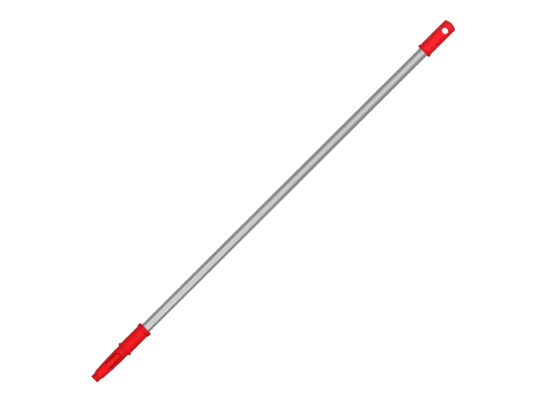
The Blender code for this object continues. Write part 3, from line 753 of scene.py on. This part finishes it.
def make_tube(name, front, rear, radius, bore, holes):
    """A drawn tube with deburred ends, and holes given as (station, angle, radius)."""
    outer = radius * FLAT
    corners = [(front, bore, 0.0002), (front, outer, 0.0003), (rear, outer, 0.0003), (rear, bore, 0.0002)]
    section = rounded(corners, 4)
    longest = 0.03  # of a stretch without a ring of points
    profile = []
    for point, following in zip(section, section[1:] + section[:1]):
        profile.append(point)
        run = following[0] - point[0]
        rise = following[1] - point[1]
        pieces = int(abs(run) / longest)
        for k in range(1, pieces):
            profile.append((point[0] + run * k / pieces, point[1] + rise * k / pieces, 0.0))
    tube = turned(name, profile)
    for along, angle, size in holes:
        combine(tube, drill("hole", 0.005, 0.020, size, on_axis(along), outward(angle)))
    return smooth(tube)


def make_bush():
    """A headed bush, with a shallow relief along its skirt."""
    front, rear = station("guide_bush")
    head_end = front + 0.0030
    skirt = TUBE_BORE_RADIUS * FLAT - GAP
    relief = skirt - 0.0002
    corners = [
        (front, GUIDE_RADIUS, 0.0003),
        (front, TUBE_RADIUS * FLAT, 0.0004),
        (head_end, TUBE_RADIUS * FLAT, 0.0002),
        (head_end, skirt, 0.0001),
        (head_end + 0.0060, skirt, 0.0001),
        (head_end + 0.0062, relief, 0.0001),
        (head_end + 0.0168, relief, 0.0001),
        (head_end + 0.0170, skirt, 0.0001),
        (rear, skirt, 0.0005),
        (rear, GUIDE_RADIUS, 0.0002),
    ]
    return smooth(turned("bush_moulding", rounded(corners, 4)))


# ---- twist lock, inside the tube


def make_plug():
    """A ribbed spigot with a shoulder that runs in the outer tube."""
    front, rear = station("tail_plug")
    shoulder_front = rear - PLUG_SHOULDER_LENGTH
    spigot = INNER_BORE_RADIUS * FLAT - GAP
    root = spigot - PLUG_RIB_HEIGHT
    shoulder = TUBE_BORE_RADIUS * FLAT**2 - GAP
    corners = [(front, SPINDLE_BORE_RADIUS, 0.0003), (front, root, 0.0003)]
    for i in range(PLUG_RIBS):
        start = front + 0.0015 + i * PLUG_RIB_PITCH
        corners += [(start, spigot, 0.0002), (start + PLUG_RIB_LENGTH, spigot, 0.0002)]
        corners += [(start + 0.0034, root, 0.0001), (start + 0.0044, root, 0.0001)]
    corners += [
        (shoulder_front, root, 0.0002),
        (shoulder_front, shoulder, 0.0004),
        (rear, shoulder, 0.0006),
        (rear, SPINDLE_BORE_RADIUS, 0.0003),
    ]
    plug = turned("plug_moulding", rounded(corners, 4))
    start = on_axis(middle_station("plug_rivet"))
    combine(plug, drill("plug_hole", 0.0035, 0.015, RIVET_RADIUS + GAP, start, DOWN))
    return smooth(plug)


def make_plug_rivet():
    """A steel rivet with a small dimple in its outer end."""
    low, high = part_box("plug_rivet")
    length = high.z - low.z
    size = RIVET_RADIUS * RIVET_FIT
    dimple = length - 0.0005
    corners = [(0.0, 0.0), (0.0, size, 0.0003), (length, size, 0.00045), (length, 0.0006, 0.0003)]
    corners += [(dimple, 0.0004, 0.0002), (dimple, 0.0)]
    start = Vector((NOSE_X + middle_station("plug_rivet"), 0, high.z))
    return turned("plug_peg", rounded(corners), SMALL_SIDES, start, DOWN)


def make_spindle():
    """A long bolt with a low head, a rolled thread under the wedge and a groove for its clip."""
    front, rear = station("lock_spindle")
    head_rear = front + 0.0040
    thread_end = station("end_washer")[0]
    thread_start = thread_end - THREAD_LENGTH
    clip_front, clip_rear = station("end_clip")
    groove = SPINDLE_RADIUS - CLIP_GROOVE_DEPTH
    size = SPINDLE_RADIUS * SMALL_FLAT
    head = SPINDLE_HEAD_RADIUS * SMALL_FLAT
    shank_end = thread_start - 0.002
    corners = [
        (front, 0.0),
        (front, 0.0016, 0.0002),
        (front + 0.0004, 0.0020, 0.0002),
        (front, 0.0024, 0.0003),
        (front, head, 0.0009),
        (head_rear, head, 0.0003),
        (head_rear, size, 0.0003),
        (shank_end, size),
        (shank_end, 0.0),
    ]
    shank = rounded(corners)
    profile = [point for point in shank if point[0] < shank_end - GAP or point[1] > size * 0.99]
    steps = 200
    thread_wear = 0.4
    for i in range(steps + 1):
        profile.append((thread_start + THREAD_LENGTH * i / steps, size, thread_wear))
    tail = rounded([
        (thread_end, size),
        (clip_front - GAP, size, 0.0001),
        (clip_front - GAP, groove, 0.0001),
        (clip_rear + GAP, groove, 0.0001),
        (clip_rear + GAP, size, 0.0001),
        (rear, size, 0.0005),
        (rear, 0.0),
        (thread_end, 0.0),
    ])
    tail = [point for point in tail if point[0] > thread_end + 0.0001]
    profile += [point for point in tail if point[1] > 0.0 or point[0] >= rear]

    def thread(distance, radius, turn):
        along = (distance - thread_start) / THREAD_LENGTH
        if not size * 0.99 <= radius <= size * 1.01 or not 0.0 < along < 1.0:
            return radius
        phase = (distance / THREAD_PITCH - turn / math.tau) % 1.0
        depth = THREAD_DEPTH * ease(1 - abs(phase - 0.5) * 2.6) * ease(min(along, 1 - along) * 10)
        return radius - depth

    return smooth(turned("spindle_bolt", profile, SMALL_SIDES, shape=thread), 50)


def make_washer(name, node):
    """A stamped washer, rounder on one side."""
    front, rear = station(node)
    radius = half_across(node)
    corners = [(front, SPINDLE_BORE_RADIUS, 0.0001), (front, radius, 0.0005)]
    corners += [(rear, radius, 0.0001), (rear, SPINDLE_BORE_RADIUS, 0.0003)]
    return turned(name, rounded(corners), SMALL_SIDES)


def make_clip():
    """A C-shaped clip with round ends, open towards the top."""
    front, rear = station("end_clip")
    radius = half_across("end_clip")
    bore = SPINDLE_RADIUS - CLIP_GROOVE_DEPTH + GAP
    corners = [(front, bore, 0.0002), (front, radius, 0.0003), (rear, radius, 0.0002), (rear, bore, 0.0002)]
    clip = turned("clip_ring", rounded(corners), SMALL_SIDES)
    low = on_axis(front - 0.001, -bore * 0.8, 0.0004)
    high = on_axis(rear + 0.001, bore * 0.8, radius + 0.002)
    combine(clip, rounded_block("clip_mouth", low, high, 0.0004))
    return smooth(clip)


def expander_bore(along):
    """The radius of its tapered bore."""
    front, rear = station("expander")
    share = (along - front - EXPANDER_WEB) / (rear - front - EXPANDER_WEB)
    return EXPANDER_BORE_FRONT + (EXPANDER_BORE_REAR - EXPANDER_BORE_FRONT) * share


def make_expander():
    """A slit nylon barrel with a groove for its ring and fine grooves that bite on the tube."""
    front, rear = station("expander")
    ring_front, ring_rear = station("grip_ring")
    barrel = TUBE_BORE_RADIUS * FLAT - GAP
    fine = barrel - EXPANDER_GROOVE_DEPTH
    groove_front = ring_front - GAP
    groove_rear = ring_rear + GAP
    groove = half_across("grip_ring") - RING_SECTION - GAP
    web_rear = front + EXPANDER_WEB
    corners = [
        (front, SPINDLE_BORE_RADIUS, 0.0003),
        (front, barrel, 0.0006),
        (groove_front, barrel, 0.0002),
        (groove_front, groove, 0.0003),
        (groove_rear, groove, 0.0003),
        (groove_rear, barrel, 0.0002),
    ]
    for i in range(EXPANDER_GROOVES):
        start = rear - EXPANDER_GROOVED_LENGTH + i * EXPANDER_GROOVE_PITCH
        corners += [(start, barrel, 0.0001), (start + 0.0003, fine, 0.0001)]
        corners += [(start + 0.0009, fine, 0.0001), (start + 0.0012, barrel, 0.0001)]
    corners += [
        (rear, barrel, 0.0003),
        (rear, expander_bore(rear), 0.0003),
        (web_rear, expander_bore(web_rear)),
        (web_rear, SPINDLE_BORE_RADIUS, 0.0003),
    ]
    expander = turned("expander_barrel", rounded(corners, 4))
    slot_front = rear - FINGER_SLOT_LENGTH
    half = FINGER_SLOT_HALF

    def slot_outline(offset):
        steps = 16
        turns = [math.pi / 2 + math.pi * i / steps for i in range(steps + 1)]
        arc = [(slot_front + half + half * math.cos(t), -half * math.sin(t)) for t in reversed(turns)]
        return arc + [(rear + 0.002, arc[-1][1]), (rear + 0.002, arc[0][1])]

    for index in range(FINGERS):
        slot = stacked("finger_slot", slot_outline, [(0.0, SPINDLE_BORE_RADIUS / 2), (0.0, TUBE_RADIUS)])
        about = Matrix.Translation((0, 0, AXIS_Z)) @ Matrix.Rotation(math.tau * index / FINGERS, 4, "X")
        slot.data.transform(about @ Matrix.Translation((0, 0, -AXIS_Z)))
        combine(expander, slot)
    return smooth(expander)


def make_wedge():
    """A taper that fits the expander's bore at the end of its travel, with a key for one slot."""
    front, rear = station("wedge_nut")
    expander_front, expander_rear = station("expander")
    slope = (EXPANDER_BORE_REAR - EXPANDER_BORE_FRONT) / (expander_rear - expander_front - EXPANDER_WEB)
    free = WEDGE_TRAVEL * slope + GAP / 2
    front_radius = (expander_bore(front) - free) * FLAT
    rear_radius = (expander_bore(expander_rear) - free) * FLAT
    corners = [
        (front, SPINDLE_BORE_RADIUS, 0.0003),
        (front, front_radius, 0.0005),
        (expander_rear, rear_radius, 0.0010),
        (rear, rear_radius, 0.0005),
        (rear, SPINDLE_BORE_RADIUS, 0.0004),
    ]
    wedge = turned("wedge_moulding", rounded(corners))
    key_rear = expander_rear - GAP
    low = on_axis(key_rear - WEDGE_KEY_LENGTH, -FINGER_SLOT_HALF + GAP, SPINDLE_RADIUS + 4 * GAP)
    high = on_axis(key_rear, FINGER_SLOT_HALF - GAP, TUBE_BORE_RADIUS - 4 * GAP)
    combine(wedge, rounded_block("wedge_key", low, high, 0.0002), "UNION")
    return smooth(wedge)


def make_grip_ring():
    """A rubber ring with the mould's fine flash on both sides."""
    front, rear = station("grip_ring")
    section = (rear - front) / 2
    middle = half_across("grip_ring") - section
    steps = 32
    profile = []
    for i in range(steps):
        turn = -math.tau * i / steps
        flash = SEAM_HEIGHT if i in (0, steps // 2) else 0.0
        size = section - SEAM_HEIGHT + flash
        profile.append(((front + rear) / 2 + size * math.cos(turn), middle + size * math.sin(turn), 0.0))
    return turned("grip_o_ring", profile)


# ---- materials

MIX_FIRST, MIX_SECOND, MIX_RESULT = 6, 7, 2  # a Mix node's colour sockets


class Graph:
    """A material's nodes, wired up by short calls."""

    def __init__(self, name):
        self.material = bpy.data.materials.new(name)
        self.material.use_nodes = True
        self.tree = self.material.node_tree
        self.shader = self.tree.nodes["Principled BSDF"]
        self.place = self.node("ShaderNodeTexCoord").outputs["Object"]

    def feed(self, socket, value):
        """Links a socket into another, or sets a number or colour on it."""
        if isinstance(value, bpy.types.NodeSocket):
            self.tree.links.new(value, socket)
        elif socket.type == "RGBA":
            socket.default_value = (*value, 1.0)
        else:
            socket.default_value = value

    def node(self, kind, inputs=None, **settings):
        made = self.tree.nodes.new(kind)
        for key, value in settings.items():
            setattr(made, key, value)
        for key, value in (inputs or {}).items():
            self.feed(made.inputs[key], value)
        return made

    def stretched(self, scale):
        return self.node("ShaderNodeMapping", {"Vector": self.place, "Scale": scale}).outputs["Vector"]

    def noise(self, scale, detail=3.0, roughness=0.5, place=None):
        inputs = {"Scale": scale, "Detail": detail, "Roughness": roughness}
        inputs["Vector"] = self.place if place is None else place
        return self.node("ShaderNodeTexNoise", inputs).outputs["Fac"]

    def between(self, value, low, high, to_low=0.0, to_high=1.0):
        inputs = {"Value": value, "From Min": low, "From Max": high, "To Min": to_low, "To Max": to_high}
        return self.node("ShaderNodeMapRange", inputs).outputs["Result"]

    def math(self, operation, a, b=0.0):
        return self.node("ShaderNodeMath", {0: a, 1: b}, operation=operation).outputs[0]

    def mix(self, factor, first, second):
        inputs = {"Factor": factor, MIX_FIRST: first, MIX_SECOND: second}
        return self.node("ShaderNodeMix", inputs, data_type="RGBA").outputs[MIX_RESULT]

    def wear_and_shade_value(self):
        return self.node("ShaderNodeAttribute", attribute_name="wear_and_shade").outputs["Fac"]

    def bump(self, height, strength, distance, after=None):
        inputs = {"Height": height, "Strength": strength, "Distance": distance}
        if after is not None:
            inputs["Normal"] = after
        return self.node("ShaderNodeBump", inputs).outputs["Normal"]

    def set(self, **values):
        for key, value in values.items():
            self.feed(self.shader.inputs[key.replace("_", " ")], value)


def moulded(name, light, dark, worn_colour, shade_colour, roughness, specular):
    """Injection-moulded plastic: a little mottled, finely textured, rubbed on its edges and
    darkened where paint() sets values below 0, which is mostly painted shade."""
    g = Graph(name)
    mottle = g.between(g.noise(45, 4, 0.6), 0.3, 0.7)
    colour = g.mix(mottle, dark, light)
    rubbed = g.between(g.noise(900, 4, 0.7), 0.48, 0.62)
    wear_and_shade = g.wear_and_shade_value()
    edge = g.math("MULTIPLY", g.math("MAXIMUM", wear_and_shade, 0.0), rubbed)
    colour = g.mix(g.math("MULTIPLY", edge, 0.55), colour, worn_colour)
    # Below 0 the attribute darkens the colour towards the shade colour in a faint mottle: painted shade.
    shade_mottle = g.between(g.noise(700, 4, 0.6), 0.2, 0.6, 0.82, 1.0)
    painted_shade_and_darkening = g.math("MULTIPLY", g.math("MAXIMUM", g.math("MULTIPLY", wear_and_shade, -1.0), 0.0), shade_mottle)
    colour = g.mix(painted_shade_and_darkening, colour, shade_colour)
    scuffs = g.between(g.noise(1.0, 3, 0.6, g.stretched((60, 900, 900))), 0.60, 0.72)
    rough = g.between(g.noise(260, 4, 0.6), 0.3, 0.7, roughness - 0.05, roughness + 0.06)
    rough = g.math("ADD", rough, g.math("MULTIPLY", scuffs, 0.08))
    rough = g.math("ADD", rough, g.math("MULTIPLY", edge, 0.15))
    texture = g.bump(g.noise(2600, 2, 0.6), 0.25, 0.00004)
    texture = g.bump(g.noise(140, 2, 0.5), 0.10, 0.0004, texture)
    g.set(Base_Color=colour, Roughness=rough, Normal=texture, Specular_IOR_Level=specular)
    return g.material


def metal(name, light, dark, roughness, streak, grain):
    """Drawn or plated metal, with fine lines along one direction and faint handling marks."""
    g = Graph(name)
    lines = g.noise(1.0, 3, 0.65, g.stretched(streak))
    broad = g.noise(14, 3, 0.5)
    fine = g.between(lines, 0.25, 0.75)
    colour = g.mix(fine, dark, light)
    colour = g.mix(g.math("MULTIPLY", g.between(broad, 0.45, 0.75), 0.25), colour, dark)
    rough = g.between(lines, 0.2, 0.8, roughness - 0.035, roughness + 0.045)
    smudge = g.between(g.noise(70, 5, 0.6), 0.56, 0.74)
    rough = g.math("ADD", rough, g.math("MULTIPLY", smudge, 0.05))
    rough = g.math("ADD", rough, g.math("MULTIPLY", g.wear_and_shade_value(), 0.06))
    texture = g.bump(lines, grain, 0.00002)
    g.set(Base_Color=colour, Roughness=rough, Normal=texture, Metallic=1.0)
    return g.material


def rubbery(name, light, dark):
    """Black rubber with a faint grey bloom."""
    g = Graph(name)
    bloom = g.between(g.noise(500, 5, 0.7), 0.45, 0.7)
    colour = g.mix(bloom, dark, light)
    rough = g.between(g.noise(900, 3, 0.6), 0.3, 0.7, 0.68, 0.86)
    texture = g.bump(g.noise(3000, 3, 0.6), 0.3, 0.00005)
    g.set(Base_Color=colour, Roughness=rough, Normal=texture, Specular_IOR_Level=0.3)
    return g.material


# The first colour of each pair is for rubbed edges; the second is what values below 0 darken towards, which
# on the red parts is painted shade.
RUBBED_RED, SHADE_RED = (0.80, 0.05, 0.05), (0.30, 0.002, 0.003)
RUBBED_NYLON, GRIMY_NYLON = (0.55, 0.53, 0.48), (0.30, 0.28, 0.24)
RUBBED_GREY, GRIMY_GREY = (0.26, 0.27, 0.28), (0.04, 0.04, 0.04)
red = moulded("red_moulding", (0.84, 0.007, 0.012), (0.79, 0.005, 0.010), RUBBED_RED, SHADE_RED, 0.46, 0.12)
# Painted highlight: the cap gets a lighter copy of the red moulding, with a little more specular, for its
# brighter look.
cap_red_painted_highlight = moulded("red_cap_painted_highlight", (0.90, 0.012, 0.018), (0.85, 0.009, 0.015), RUBBED_RED, SHADE_RED, 0.46, 0.14)
drawn = metal("anodised_tube", (0.60, 0.60, 0.605), (0.52, 0.52, 0.53), 0.27, (1.2, 1500, 1500), 0.06)
drawn_inner = metal("mill_tube", (0.62, 0.62, 0.63), (0.50, 0.50, 0.52), 0.20, (2, 1900, 1900), 0.08)
plated = metal("zinc_plate", (0.60, 0.61, 0.60), (0.42, 0.43, 0.42), 0.30, (900, 900, 900), 0.20)
nylon = moulded(
    "natural_nylon", (0.80, 0.78, 0.70), (0.72, 0.69, 0.60), RUBBED_NYLON, GRIMY_NYLON, 0.50, 0.40
)
acetal = moulded(
    "grey_acetal", (0.15, 0.155, 0.165), (0.11, 0.115, 0.125), RUBBED_GREY, GRIMY_GREY, 0.42, 0.45
)
rubber = rubbery("black_rubber", (0.045, 0.045, 0.047), (0.018, 0.018, 0.019))


# ---- assembly


def fit(piece, node, body, material):
    """Gives a finished piece its material and its body, and hides the CAD node that it stands for."""
    piece.data.materials.clear()
    piece.data.materials.append(material)
    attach(piece, body)
    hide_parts(node)


rivet_hole = RIVET_RADIUS + GAP
pin_hole = PIN_RADIUS + GAP
outer_holes = [(COLLAR_RIVET_STATION, COLLAR_RIVET_ANGLE, rivet_hole), (CAP_RIVET_STATION, 180, rivet_hole)]
inner_holes = [(PIN_STATION, 90, pin_hole), (PIN_STATION, -90, pin_hole)]
inner_holes.append((middle_station("plug_rivet"), 180, rivet_hole))
outer_sizes = (TUBE_FRONT, TUBE_REAR, TUBE_RADIUS, TUBE_BORE_RADIUS)
outer_tube = make_tube("outer_tube_drawn", *outer_sizes, outer_holes)
inner_sizes = (INNER_FRONT, station("inner_tube")[1], INNER_RADIUS, INNER_BORE_RADIUS)
inner_tube = make_tube("inner_tube_drawn", *inner_sizes, inner_holes)
collar_rivet = make_rivet("collar_peg", COLLAR_RIVET_STATION, COLLAR_RIVET_ANGLE, COLLAR_RADIUS)
cap_rivet = make_rivet("cap_peg", CAP_RIVET_STATION, 180, CAP_RADIUS)
# Painted shade: the rivet heads are darkened all over for the shade in their recess.
for rivet in (collar_rivet, cap_rivet):
    paint(rivet, lambda along, across, up: -0.45)

fit(outer_tube, "outer_tube", "outer", drawn)
fit(make_collar(), "collar", "outer", red)
fit(collar_rivet, "collar_rivet", "outer", red)
fit(make_bush(), "guide_bush", "outer", nylon)
fit(make_cap(), "end_cap", "outer", cap_red_painted_highlight)
fit(cap_rivet, "cap_rivet", "outer", red)

fit(inner_tube, "inner_tube", "inner", drawn_inner)
fit(make_cone(), "cone_tip", "inner", red)
fit(make_cone_pin(), "cone_pin", "inner", plated)
fit(make_plug(), "tail_plug", "inner", acetal)
fit(make_plug_rivet(), "plug_rivet", "inner", plated)
fit(make_spindle(), "lock_spindle", "inner", plated)
for washer in ("thrust_washer", "end_washer"):
    fit(make_washer(f"{washer}_turned", washer), washer, "inner", plated)
fit(make_clip(), "end_clip", "inner", plated)
fit(make_tongue(), "click_tongue", "tongue", red)

fit(make_expander(), "expander", "lock", nylon)
fit(make_grip_ring(), "grip_ring", "lock", rubber)
fit(make_wedge(), "wedge_nut", "wedge", acetal)


# ---- floor, light and camera

PICTURE_TURN = math.radians(44.875)  # how far the pole is turned in the picture
PICTURE_WIDTH = 1.2058  # what the frame spans at the pole, in metres
PICTURE_AHEAD = 0.0015  # from the pole's middle to the picture's, along the pole
PICTURE_ASIDE = 0.0031  # and across it
LENS = 300
SENSOR = 36

FLOOR_HALF = 30.0
FLOOR_STEPS = 24
FLOOR_GLOW = 0.85

OVERHEAD = (3.36, 50)  # a sun's strength and its angle across in degrees
FLOOR_BOUNCE = (1.1, 60)

# What polished metal sees, from straight below to straight above: the sine of the elevation,
# and the radiance there. The horizon is the darkest part.
SURROUNDINGS = (
    (-1.0, 0.66),
    (-0.56, 0.60),
    (-0.28, 0.46),
    (0.0, 0.34),
    (0.26, 0.40),
    (0.50, 0.50),
    (0.77, 0.76),
    (0.94, 1.06),
    (1.0, 1.22),
)

# Two soft panels over the tool end, one each side, which widen the tube's highlight there.
PANEL_SIZE = (0.60, 0.22)
PANEL_X = -0.38
PANEL_DISTANCE = 1.5
PANELS = ((46, 2.6), (-34, 1.2))  # degrees from straight above towards -Y, and radiance


def make_floor():
    """A wide pale floor that gives off light of its own, just below the pole."""
    row = FLOOR_STEPS + 1
    lines = [FLOOR_HALF * (2 * i / FLOOR_STEPS - 1) for i in range(row)]
    points = [(x, y, -GAP) for x in lines for y in lines]
    corners = [i * row + j for i in range(FLOOR_STEPS) for j in range(FLOOR_STEPS)]
    faces = [(corner, corner + row, corner + row + 1, corner + 1) for corner in corners]
    floor = add_mesh("floor", points, faces)
    g = Graph("pale_floor")
    tone = g.between(g.noise(3, 3), 0.3, 0.7)
    pale = g.mix(tone, (0.88, 0.88, 0.88), (0.90, 0.90, 0.90))
    g.set(Base_Color=pale, Roughness=0.7, Specular_IOR_Level=0.0)
    g.set(Emission_Color=(1, 1, 1), Emission_Strength=FLOOR_GLOW)
    floor.data.materials.append(g.material)
    floor.visible_diffuse = False
    floor.visible_glossy = False
    floor.visible_shadow = False


def add_sun(name, strength, degrees, rotation=(0, 0, 0)):
    """A wide soft light that polished surfaces don't mirror."""
    sun = bpy.data.lights.new(name, "SUN")
    sun.energy = strength
    sun.angle = math.radians(degrees)
    lamp = link(bpy.data.objects.new(name, sun))
    lamp.rotation_euler = rotation
    lamp.visible_glossy = False


def make_lights():
    """Suns for what is dull, and panels and surroundings for what is polished."""
    add_sun("overhead", *OVERHEAD)
    add_sun("floor_bounce", *FLOOR_BOUNCE, (math.pi, 0, 0))
    for degrees, radiance in PANELS:
        panel = bpy.data.lights.new("side_panel", "AREA")
        panel.shape = "RECTANGLE"
        panel.size, panel.size_y = PANEL_SIZE
        panel.energy = radiance * math.pi * panel.size * panel.size_y
        lamp = link(bpy.data.objects.new("side_panel", panel))
        lean = math.radians(degrees)
        reach = Vector((0, -math.sin(lean), math.cos(lean))) * PANEL_DISTANCE
        lamp.location = Vector((PANEL_X, 0, AXIS_Z)) + reach
        lamp.rotation_euler = (lean, 0, 0)
        lamp.visible_camera = False
        lamp.visible_diffuse = False

    world = bpy.data.worlds.new("studio")
    world.use_nodes = True
    nodes = world.node_tree.nodes
    links = world.node_tree.links
    direction = nodes.new("ShaderNodeTexCoord").outputs["Generated"]
    split = nodes.new("ShaderNodeSeparateXYZ")
    share = nodes.new("ShaderNodeMapRange")
    share.inputs["From Min"].default_value = -1.0
    ramp = nodes.new("ShaderNodeValToRGB")
    links.new(direction, split.inputs[0])
    links.new(split.outputs["Z"], share.inputs["Value"])
    links.new(share.outputs["Result"], ramp.inputs["Fac"])
    elements = ramp.color_ramp.elements
    while len(elements) < len(SURROUNDINGS):
        elements.new(0.5)
    for element, (sine, radiance) in zip(elements, SURROUNDINGS):
        element.position = (sine + 1) / 2
        element.color = (radiance, radiance, radiance, 1)
    links.new(ramp.outputs["Color"], nodes["Background"].inputs["Color"])
    bpy.context.scene.world = world
    world.cycles_visibility.diffuse = False


def make_camera():
    """A long lens straight above the pole."""
    lens = bpy.data.cameras.new("camera")
    lens.lens = LENS
    lens.sensor_width = SENSOR
    lens.clip_end = 200
    camera = link(bpy.data.objects.new("camera", lens))
    height = LENS * PICTURE_WIDTH / SENSOR
    middle = (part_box("cone_tip")[0].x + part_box("end_cap")[1].x) / 2
    camera.location = (middle + PICTURE_AHEAD, PICTURE_ASIDE, AXIS_Z + height)
    camera.rotation_euler = (0, 0, -PICTURE_TURN)
    bpy.context.scene.camera = camera
    bpy.context.scene.view_settings.view_transform = "Standard"


make_floor()
make_lights()
make_camera()
